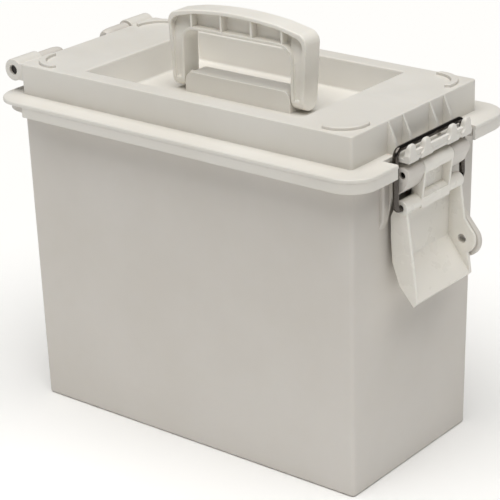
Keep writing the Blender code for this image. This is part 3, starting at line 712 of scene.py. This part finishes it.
def keeper_finger(number, centre):
    """Rounded finger that flares out at its foot."""
    reach = FINGER_TOP_R + FINGER_FLARE_R
    foot = reach - 1.1
    neck_z = FINGER_TOP_Z - FINGER_TOP_R
    flare_z = neck_z - FINGER_FLARE_DROP
    front = [(centre - foot, 274.0), (centre + foot, 274.0)]
    front += arc((centre + reach, flare_z), FINGER_FLARE_R, 257, 180, 6)
    front += arc((centre, neck_z), FINGER_TOP_R, 0, 180, 12)
    front += arc((centre - reach, flare_z), FINGER_FLARE_R, 0, -77, 6)
    finger = prism(f"finger_{number}", front, "X", FINGER_X, FINGER_EDGE, 3)
    side = prism(f"finger_side_{number}", FINGER, "Y", (centre - 12.0, centre + 12.0))
    return keep_common(finger, side)


def hollow_lid(lid):
    """Open the underside of the raised part, leaving the well's walls, floor and locating lip."""
    hollow = loft("lid_hollow", [level(z, HOLLOW, 1.0) for z in HOLLOW_Z])
    cut(hollow, loft("well_wall", [level(WELL_UNDER_Z, WELL_WALL_LOW, 3.0),
                                   level(HOLLOW_Z[1] + 1.0, WELL_WALL_HIGH, 3.0)]))
    mouth_size = (LIP[0] - 2 * LIP_T, LIP[1] - 2 * LIP_T)
    mouth = loft("lid_mouth", [level(z, mouth_size, 1.5) for z in (PLATE_Z[0] - 12.0, PLATE_Z[1])])
    pan_x, pan_y = FLOOR_PAN_HALF
    cut(mouth, block("floor_pan", both_ways(pan_x), both_ways(pan_y),
                     (WELL_UNDER_Z, WELL_FLOOR_Z)))
    join(lid, loft("lid_lip", [level(LIP_LOW_Z, LIP, LIP_R, LIP_EDGE),
                               level(LIP_LOW_Z + LIP_EDGE, LIP, LIP_R),
                               level(PLATE_Z[0] + 1.0, LIP, LIP_R)]))
    cut(lid, hollow, mouth)


def well_levels():
    """The handle well: a fillet round its floor and a rolled edge at its mouth."""
    levels = rounded_levels(WELL_FLOOR, WELL_TOP, (WELL_FLOOR_Z, PLATEAU_TOP_Z), WELL_R,
                            foot=WELL_FILLET, head=-WELL_ROLL)
    levels.append(level(PLATEAU_TOP_Z + 4.0, WELL_TOP, WELL_R, -WELL_ROLL))
    return levels


def pivot_block():
    """Raised block on the floor of the well, between the feet of the handle."""
    foot_z = WELL_FLOOR_Z - 4.0
    centre_x = BLOCK_HALF_X - BLOCK_R
    centre_z = BLOCK_TOP_Z - BLOCK_R
    outline = [(-BLOCK_HALF_X, foot_z), (BLOCK_HALF_X, foot_z)]
    outline += arc((centre_x, centre_z), BLOCK_R, 0, 90, 12)
    outline += arc((-centre_x, centre_z), BLOCK_R, 90, 180, 12)
    return prism("pivot_block", outline, "Y", both_ways(BLOCK_HALF_Y), 0.6, 3)


def lid_openings(side):
    """Slots for the wire and the hinge post, the pin bore and the handle's socket, on one side."""
    slot_y = (BAIL_SLOT_Y, NOTCH_Y[1]) if side > 0 else (NOTCH_Y[0], -BAIL_SLOT_Y)
    bore_y = (LID_KNUCKLE_Y[0] - CLEAR, LID_KNUCKLE_Y[1] + CLEAR)
    return (block(f"bail_slot_{side}", (NOTCH_X, FAR_X), slot_y,
                  (SKIRT_LOW_Z - 1.0, BAIL_SLOT_TOP_Z)),
            block(f"post_slot_{side}", (-FAR_X, POST_SLOT_X), mirrored(POST_SLOT_Y, side),
                  POST_SLOT_Z),
            rod(f"lid_bore_{side}", (HINGE_X, HINGE_Z), PIN_R + PIN_GAP, mirrored(bore_y, side),
                BORE_EDGE),
            rod(f"handle_socket_{side}", (0.0, PIVOT_Z), STUB_R + SOCKET_GAP,
                mirrored(SOCKET_X, side), BORE_EDGE, "X"))


def build_gasket():
    """Sealing ring with a rounded crown, between the tub's wall and the lid."""
    low, high = box_mm("lid_gasket")
    size = (high.x - low.x, high.y - low.y)
    middle = (size[0] - 2 * GASKET_WIDTH, size[1] - 2 * GASKET_WIDTH)
    ring = loft("gasket_ring", rounded_levels(size, size, (low.z, high.z), GASKET_R,
                                              foot=GASKET_FOOT, head=GASKET_HEAD))
    flare = ((low.z - 1.0, 0.0), (high.z - GASKET_HEAD, 0.0),
             (high.z - GASKET_HEAD_STEP, -GASKET_HEAD_STEP), (high.z, -GASKET_HEAD),
             (high.z + 1.0, -GASKET_HEAD))
    return cut(ring, loft("gasket_middle", [level(z, middle, GASKET_IN_R, inset)
                                            for z, inset in flare]))


# ---------------------------------------------------------------- handle

def grip_outline(inset, low):
    """Outer edge of the grip in the XZ plane, from the right foot over the crown to the left."""
    centre_x = LEG_TOP_X - inset - HANDLE_CORNER_R
    centre_z = HANDLE_TOP_Z - SHOULDER_DROP - inset - HANDLE_CORNER_R
    points = [(LEG_FOOT_X - inset, low)]
    points += arc((centre_x, centre_z), HANDLE_CORNER_R, 0, 78, 14)
    for step in range(CROWN_STEPS + 1):
        x = CROWN_HALF_X * (1 - 2 * step / CROWN_STEPS)
        sag = HANDLE_CROWN_R - math.sqrt(HANDLE_CROWN_R ** 2 - x * x)
        points.append((x, HANDLE_TOP_Z - inset - sag))
    points += arc((-centre_x, centre_z), HANDLE_CORNER_R, 102, 180, 14)
    points.append((-LEG_FOOT_X + inset, low))
    return points


def opening_outline(outset, low):
    """Edge of the finger opening, from the left foot over to the right."""
    radius = HANDLE_OPEN_R + outset
    centre_x = LEG_IN_X - HANDLE_OPEN_R
    centre_z = HANDLE_OPEN_Z - HANDLE_OPEN_R
    points = [(-LEG_IN_X - outset, low)]
    points += arc((-centre_x, centre_z), radius, 180, 90, 12)
    points += arc((centre_x, centre_z), radius, 90, 0, 12)
    points.append((LEG_IN_X + outset, low))
    return points


def build_handle():
    """Arched grip of I section with stiffening ribs, round feet and pivot stubs."""
    outline = grip_outline(0.0, PIVOT_Z) + opening_outline(0.0, PIVOT_Z)
    handle = prism("carry_handle", outline, "Y", both_ways(HANDLE_HALF_Y), HANDLE_EDGE_R, 4)
    foot_x = (LEG_IN_X + 0.02, LEG_FOOT_X - 0.02)
    for side in SIDES:
        foot = rod(f"foot_{side}", (0.0, PIVOT_Z), HANDLE_HALF_Y - 0.05, mirrored(foot_x, side),
                   FOOT_EDGE, "X", 64)
        stub = rod(f"stub_{side}", (0.0, PIVOT_Z), STUB_R, mirrored(STUB_X, side), 0.5, "X")
        join(handle, foot, stub)
    for face in SIDES:
        cut(handle, grip_pocket(face))
        for side in SIDES:
            cut(handle, leg_channel(face, side))
    return handle


def grip_pocket(face):
    """Deep recess between the ribs of the crown, in one face of the grip."""
    outline = (grip_outline(HANDLE_RIM, POCKET_LOW_Z)
               + opening_outline(HANDLE_INNER_RIM, POCKET_LOW_Z))
    pocket = prism(f"grip_pocket_{face}", outline, "Y",
                   mirrored((POCKET_WEB_HALF_Y, HANDLE_HALF_Y + 3.0), face), POCKET_EDGE)
    rib_y = mirrored((0.5, HANDLE_HALF_Y - GRIP_RIB_SET_BACK), face)
    left = [block(f"grip_rib_{face}_{number}", (centre - GRIP_RIB_HALF_X, centre + GRIP_RIB_HALF_X),
                  rib_y, GRIP_RIB_Z, 0.35) for number, centre in enumerate(HANDLE_RIBS_X, start=1)]
    ramp = [(face * y, POCKET_LOW_Z + rise) for y, rise in SHOULDER_RAMP]
    left += [prism(f"shoulder_ramp_{face}_{side}", ramp, "X", mirrored(SHOULDER_RAMP_X, side))
             for side in SIDES]
    return cut(pocket, *left)


def leg_channel(face, side):
    """Shallow soft channel down one leg, round about a small boss at the foot."""
    inner = LEG_IN_X + HANDLE_INNER_RIM + CHANNEL_MARGIN[0]
    outer = LEG_FOOT_X - HANDLE_RIM - CHANNEL_MARGIN[1]
    middle = (inner + outer) / 2
    top = HANDLE_TOP_Z - CHANNEL_TOP_DROP
    outline = arc((middle, BOSS_Z), (outer - inner) / 2, 180, 360, 12)
    outline += [(outer + 2.4, top), (inner - 0.2, top - 3.0)]
    outline = [(side * x, z) for x, z in outline]
    depth = mirrored((HANDLE_HALF_Y - CHANNEL_DEPTH, HANDLE_HALF_Y + CLEAR), face)
    channel = prism(f"leg_channel_{face}_{side}", outline, "Y", depth, CHANNEL_EDGE, 4)
    boss = turned(f"foot_boss_{face}_{side}", (side * middle, BOSS_Z),
                  [(face * y, radius) for y, radius in BOSS], sides=32)
    return cut(channel, boss)


# ---------------------------------------------------------------- latch

def build_lever():
    """Latch lever: pivot knuckle, two webs, lower barrel, side flanges, finger scoop and ear."""
    lever = rod("lever_body_shell", (LATCH_X, LATCH_Z), BARREL_A_R, both_ways(KNUCKLE_HALF_Y), 0.5)
    lower = rod("lower_barrel", (BAIL_X, BAIL_Z), BARREL_B_R, both_ways(FLANGE_HALF_Y + 1.0),
                EAR_EDGE)
    back = prism("lever_back", LEVER_BACK, "Y", both_ways(KNUCKLE_HALF_Y - 0.5))
    join(lever, lower, back)
    flange_y = (FLANGE_HALF_Y - FLANGE_T, FLANGE_HALF_Y)
    for side in SIDES:
        web = prism(f"lever_web_{side}", LEVER_WEB, "Y", mirrored(LEVER_WEB_Y, side), WEB_EDGE)
        flange = prism(f"lever_flange_{side}", LEVER_FLANGE, "Y", mirrored(flange_y, side), 0.5, 3)
        join(lever, web, flange)
    ledge = prism("lever_ledge", LEVER_LEDGE, "Y", both_ways(KNUCKLE_HALF_Y - 0.4), LEVER_EDGE)
    panel = prism("lever_panel", LEVER_PANEL, "Y", both_ways(FLANGE_HALF_Y - 1.2), LEVER_EDGE)
    ear = prism("padlock_ear_lever", lever_ear_outline(), "Y",
                (flange_y[0] + 0.1, flange_y[1] - 0.1), EAR_EDGE, 3)
    join(lever, ledge, panel, ear)
    cut(lever, rod("lever_bore", (LATCH_X, LATCH_Z), LATCH_BORE_R,
                   both_ways(KNUCKLE_HALF_Y + CLEAR), BORE_EDGE),
        rod("padlock_hole_lever", PADLOCK, PADLOCK_R, LEVER_EAR_HOLE_Y, BORE_EDGE))
    bore_y = (BAIL_BORE_Y, FLANGE_HALF_Y + CLEAR)
    cut(lever, *[rod(f"bail_bore_{side}", (BAIL_X, BAIL_Z), WIRE_R + WIRE_GAP,
                     mirrored(bore_y, side), BORE_EDGE) for side in SIDES])
    return lever


def lever_ear_outline():
    """Ear on the lever, round about the padlock hole."""
    outline = [(178.0, 176.0), (188.0, 176.4)]
    outline += arc(PADLOCK, LEVER_EAR_R, -72, 48, 10)
    outline += [(190.2, 206.6), (180.0, 206.6)]
    return outline


def bail_path():
    """Middle of the wire, as points (x, y, z), from one end to the other."""
    low, top = BAIL_LOW_BEND, BAIL_TOP_BEND
    path = [(BAIL_X, -BAIL_END_Y, BAIL_Z)]
    path += [(BAIL_X, y, z) for y, z in arc((low - BAIL_HALF_Y, BAIL_Z + low), low, -90, -180, 8)]
    path += [(BAR_X, y, z) for y, z in arc((top - BAIL_HALF_Y, BAR_Z - top), top, 180, 90, 10)]
    return path + [(x, -y, z) for x, y, z in reversed(path)]


def build_bail():
    """Bent wire loop: top bar, two legs, and ends turned in to the lower barrel."""
    path = bail_path()
    curve = bpy.data.curves.new("bail_curve", "CURVE")
    curve.dimensions = "3D"
    curve.bevel_depth = WIRE_R * MM
    curve.bevel_resolution = 7
    curve.use_fill_caps = True
    spline = curve.splines.new("POLY")
    spline.points.add(len(path) - 1)
    for point, place in zip(spline.points, path):
        point.co = (*(Vector(place) * MM), 1.0)
    guide = link_object("bail_guide", curve)
    mesh = evaluated_mesh(guide)
    bpy.data.objects.remove(guide, do_unlink=True)
    shape = bmesh.new()
    shape.from_mesh(mesh)
    bmesh.ops.remove_doubles(shape, verts=shape.verts, dist=0.00001)
    bmesh.ops.recalc_face_normals(shape, faces=shape.faces)
    shape.to_mesh(mesh)
    shape.free()
    return link_object("bail_wire", mesh)


def build_pin(name, node, radius):
    """A plain pin with rounded ends, as long as its CAD node."""
    low, high = box_mm(node)
    centre = ((low.x + high.x) / 2, (low.z + high.z) / 2)
    return rod(name, centre, radius, (low.y, high.y), 0.6, sides=40)


# ---------------------------------------------------------------- materials

def new_material(name):
    """A material with nodes, its tree and its main shader."""
    material = bpy.data.materials.new(name)
    material.use_nodes = True
    tree = material.node_tree
    return material, tree, tree.nodes["Principled BSDF"]


def feed(tree, socket, value):
    """Link a socket to an input, or set the input to a value."""
    if isinstance(value, bpy.types.NodeSocket):
        tree.links.new(value, socket)
    else:
        socket.default_value = value


def add_node(tree, kind, settings=(), **inputs):
    """A shader node with some of its properties set and some of its inputs fed."""
    made = tree.nodes.new(kind)
    for key, value in dict(settings).items():
        setattr(made, key, value)
    for key, value in inputs.items():
        feed(tree, made.inputs[key.replace("_", " ")], value)
    return made


def operate(tree, kind, operation, *values):
    """A maths node, with its inputs fed in order."""
    made = add_node(tree, kind, {"operation": operation})
    for socket, value in zip(made.inputs, values):
        feed(tree, socket, value)
    return made


def noise(tree, scale, detail=3.0):
    """Noise that sticks to the piece."""
    place = tree.nodes.get("Texture Coordinate") or tree.nodes.new("ShaderNodeTexCoord")
    return add_node(tree, "ShaderNodeTexNoise", Vector=place.outputs["Object"], Scale=scale,
                    Detail=detail, Roughness=0.55).outputs["Fac"]


def remap(tree, value, low, high, from_low=0.3, from_high=0.7):
    """Map a range onto another; the usual first range is where most of a noise lies."""
    return add_node(tree, "ShaderNodeMapRange", Value=value, From_Min=from_low, From_Max=from_high,
                    To_Min=low, To_Max=high).outputs["Result"]


def blend_colour(tree, share, first, second):
    """Mix two colours, each a colour or a socket, by a value or a socket."""
    made = tree.nodes.new("ShaderNodeMix")
    made.data_type = "RGBA"
    for number, value in ((0, share), (6, first), (7, second)):
        feed(tree, made.inputs[number], value)
    return made.outputs[2]


def scaled(colour, *factors):
    """A colour times one factor or one for each channel, no brighter than white."""
    if len(factors) == 1:
        factors *= 3
    return tuple(min(c * f, 1.0) for c, f in zip(colour, factors)) + (1.0,)


def edge_mask(tree, radius):
    """The rounded normal at each edge, and how far it turns from the face's own."""
    bevel = add_node(tree, "ShaderNodeBevel", {"samples": 6}, Radius=radius)
    face = tree.nodes.new("ShaderNodeNewGeometry")
    dot = operate(tree, "ShaderNodeVectorMath", "DOT_PRODUCT", bevel.outputs["Normal"],
                  face.outputs["Normal"])
    return bevel.outputs["Normal"], remap(tree, dot.outputs["Value"], 0.0, 1.0, 1.0, 0.72)


def plastic(name, colour, roughness, grain=0.10):
    """Satin moulded plastic: faint mottling, fine grain, paler worn edges, patchy painted shade in
    corners.
    """
    material, tree, shader = new_material(name)
    normal, edge = edge_mask(tree, 0.0007)
    deep = scaled(colour, 0.955, 0.945, 0.925)
    mottled = blend_colour(tree, remap(tree, noise(tree, 9.0, 4.0), 0.0, 1.0), deep,
                           scaled(colour, 1.02))
    speckle = remap(tree, noise(tree, 420.0, 2.0), 0.0, 0.10, 0.35, 0.7)
    speckled = blend_colour(tree, speckle, mottled, deep)
    # Painted shade: a darker, warmer colour where the ambient occlusion node finds corners and
    # creases, broken up by noise.
    occlusion = add_node(tree, "ShaderNodeAmbientOcclusion", {"samples": 6}, Distance=0.009)
    corner = remap(tree, occlusion.outputs["AO"], 0.55, 0.0, 0.15, 0.85)
    patchy_corner_shade = operate(tree, "ShaderNodeMath", "MULTIPLY", corner,
                     remap(tree, noise(tree, 60.0, 3.0), 0.35, 1.0))
    shaded_in_corners = blend_colour(tree, patchy_corner_shade.outputs[0], speckled, scaled(colour, 0.72, 0.68, 0.62))
    wear = operate(tree, "ShaderNodeMath", "MULTIPLY", edge,
                   remap(tree, noise(tree, 130.0, 3.0), 0.15, 0.8))
    worn = blend_colour(tree, wear.outputs[0], shaded_in_corners, scaled(colour, 1.07))
    satin = remap(tree, noise(tree, 38.0, 4.0), roughness - 0.05, roughness + 0.07)
    polished = operate(tree, "ShaderNodeMath", "MULTIPLY_ADD", wear.outputs[0], -0.10, satin)
    waves = add_node(tree, "ShaderNodeBump", Height=noise(tree, 14.0, 2.0), Strength=0.25,
                     Distance=0.0006, Normal=normal)
    bump = add_node(tree, "ShaderNodeBump", Height=noise(tree, 1500.0, 3.0), Strength=grain,
                    Distance=0.00012, Normal=waves.outputs["Normal"])
    for key, value in (("Base Color", worn), ("Roughness", polished.outputs[0]),
                       ("Normal", bump.outputs["Normal"]), ("IOR", 1.5),
                       ("Specular IOR Level", 0.42), ("Subsurface Weight", 0.05),
                       ("Subsurface Radius", (0.004, 0.003, 0.002)), ("Subsurface Scale", 0.6)):
        feed(tree, shader.inputs[key], value)
    return material


def metal(name, colour, roughness):
    """Drawn steel: streaks along Y, dull patches and fine scratches."""
    material, tree, shader = new_material(name)
    place = tree.nodes.new("ShaderNodeTexCoord")
    mapping = add_node(tree, "ShaderNodeMapping", Vector=place.outputs["Object"],
                       Scale=(1600.0, 60.0, 1600.0))
    streaks = add_node(tree, "ShaderNodeTexNoise", Vector=mapping.outputs["Vector"], Scale=1.0,
                       Detail=3.0).outputs["Fac"]
    patches = noise(tree, 70.0, 4.0)
    base = blend_colour(tree, remap(tree, streaks, 0.0, 1.0), scaled(colour, 0.55),
                        scaled(colour, 1.35))
    dulled = blend_colour(tree, remap(tree, patches, 0.0, 0.35), base,
                          scaled(colour, 0.50, 0.42, 0.34))
    bump = add_node(tree, "ShaderNodeBump", Height=streaks, Strength=0.25, Distance=0.00006)
    for key, value in (("Base Color", dulled), ("Metallic", 1.0),
                       ("Roughness", remap(tree, patches, roughness - 0.06, roughness + 0.12)),
                       ("Normal", bump.outputs["Normal"])):
        feed(tree, shader.inputs[key], value)
    return material


def rubber(name, colour):
    """Matt black sealing rubber with a fine pebbled skin and a little bloom."""
    material, tree, shader = new_material(name)
    base = blend_colour(tree, remap(tree, noise(tree, 110.0, 4.0), 0.0, 0.7), scaled(colour, 1.0),
                        scaled(colour, 2.2))
    bump = add_node(tree, "ShaderNodeBump", Height=noise(tree, 1300.0, 2.0), Strength=0.3,
                    Distance=0.0002)
    for key, value in (("Base Color", base), ("Normal", bump.outputs["Normal"]),
                       ("Roughness", remap(tree, noise(tree, 60.0), 0.68, 0.86))):
        feed(tree, shader.inputs[key], value)
    return material


# ---------------------------------------------------------------- stage

def build_stage():
    """Even pale floor, and soft light from all round and from above."""
    shape = bmesh.new()
    bmesh.ops.create_grid(shape, x_segments=4, y_segments=4, size=STAGE_HALF)
    bmesh.ops.translate(shape, vec=Vector((0, 0, -STAGE_DROP)), verts=shape.verts)
    floor = add_object("studio_floor", shape)
    material, _, shader = new_material("studio_floor_paint")
    shader.inputs["Base Color"].default_value = STAGE_COLOUR
    shader.inputs["Roughness"].default_value = 0.9
    shader.inputs["Specular IOR Level"].default_value = 0.1
    floor.data.materials.append(material)

    world = bpy.data.worlds.new("studio_world")
    world.use_nodes = True
    background = world.node_tree.nodes["Background"]
    background.inputs["Color"].default_value = WORLD_COLOUR
    background.inputs["Strength"].default_value = WORLD_STRENGTH
    bpy.context.scene.world = world

    sun = bpy.data.lights.new("overhead_diffuser", "SUN")
    sun.angle = math.radians(DIFFUSER_DEGREES)
    sun.energy = DIFFUSER_STRENGTH
    sun.color = DIFFUSER_COLOUR
    lamp = link_object("overhead_diffuser", sun)
    towards = Vector(DIFFUSER_FROM)
    lamp.location = towards.normalized() * 2.0
    lamp.rotation_euler = towards.to_track_quat("Z", "Y").to_euler()


def build_camera():
    """The camera stands where the photograph was taken from, turned by its three angles."""
    azimuth = math.radians(CAMERA_AZIMUTH)
    elevation = math.radians(CAMERA_ELEVATION)
    roll = math.radians(CAMERA_ROLL)
    back = Vector((math.sin(azimuth) * math.cos(elevation),
                   -math.cos(azimuth) * math.cos(elevation), math.sin(elevation)))
    side = (-back).cross(Vector((0, 0, 1))).normalized()
    up = side.cross(-back)
    right = side * math.cos(roll) + up * math.sin(roll)
    top = up * math.cos(roll) - side * math.sin(roll)
    data = bpy.data.cameras.new("camera")
    data.sensor_width = SENSOR_WIDTH
    data.lens = CAMERA_LENS
    data.clip_end = CAMERA_REACH
    camera = link_object("camera", data)
    turn = Matrix((right, top, back)).transposed()
    camera.matrix_world = Matrix.Translation(CAMERA_PLACE) @ turn.to_4x4()
    bpy.context.scene.camera = camera


def build_object():
    """Build, dress and place all nine pieces."""
    tub_plastic = plastic("satin_tub_plastic", TUB_SHADED_COLOUR, 0.44)
    lid_plastic = plastic("satin_lid_plastic", LID_COLOUR, 0.42)
    grip_plastic = plastic("smooth_grip_plastic", GRIP_COLOUR, 0.36, 0.06)
    latch_plastic = plastic("latch_plastic_gloss", LATCH_COLOUR, 0.28, 0.06)
    wire_steel = metal("dark_wire_steel", WIRE_COLOUR, 0.17)
    pin_steel = metal("pin_rod_steel", PIN_COLOUR, 0.34)
    seal_rubber = rubber("seal_rubber", SEAL_COLOUR)
    dress(build_tub(), "tub", "tub_body", tub_plastic)
    dress(build_lid(), "lid", "lid_body", lid_plastic)
    dress(build_gasket(), "lid_gasket", "lid_body", seal_rubber)
    dress(build_handle(), "handle", "handle_body", grip_plastic)
    dress(build_lever(), "latch_lever", "lever_body", latch_plastic)
    dress(build_bail(), "wire_bail", "bail_body", wire_steel)
    for node, radius in (("latch_pin", LATCH_PIN_R), ("hinge_pin_near", PIN_R),
                         ("hinge_pin_far", PIN_R)):
        dress(build_pin(f"{node}_rod", node, radius), node, "tub_body", pin_steel)


bpy.context.scene.view_settings.view_transform = "Standard"
build_stage()
build_camera()
build_object()
bpy.context.view_layer.update()
